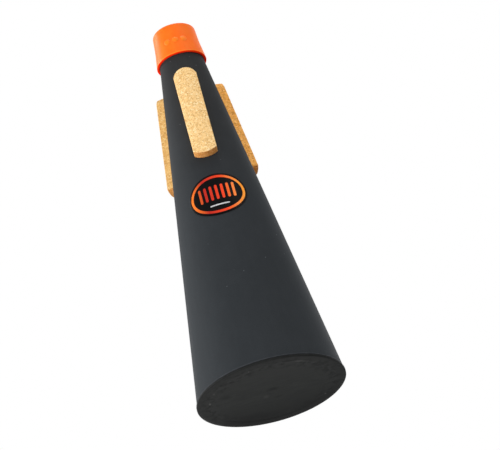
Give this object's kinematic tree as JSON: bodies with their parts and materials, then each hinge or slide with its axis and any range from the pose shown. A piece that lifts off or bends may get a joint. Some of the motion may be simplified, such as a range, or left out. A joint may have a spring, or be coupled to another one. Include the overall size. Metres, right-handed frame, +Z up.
{
  "type": "straight mute",
  "caption": "Slim straight mute: hollow charcoal cone with a closed wide end, an open neck under an orange silicone bumper, and bonded cork strips that grip the bell.",
  "frame": {"origin": "centre of the flat face at the wide closed end, which the mute stands on", "axes": "+Z up the cone's axis from the wide end to the neck; -Y faces the front cork strip and the badge; +X to the right of a viewer who looks along +Y"},
  "size_m": [0.0604, 0.0604, 0.1707],
  "materials": {
    "composite_shell": "fine matte charcoal",
    "composite_plate": "matte black, faint turned marks",
    "silicone": "satin orange silicone",
    "cork": "fine agglomerated cork",
    "print": "gloss black film with an orange to red ring and bars"
  },
  "bodies": {
    "mute_body": {"cone_shell": "composite_shell", "base_plate": "composite_plate", "cork_strip_1": "cork", "cork_strip_2": "cork", "cork_strip_3": "cork", "badge": "print"},
    "bumper": {"neck_bumper": "silicone"}
  },
  "joints": [
    {"name": "bumper_pull_off", "type": "slide", "parent": "mute_body", "child": "bumper", "axis": [0, 0, 1], "range_m": [0, 0.025]}
  ]
}
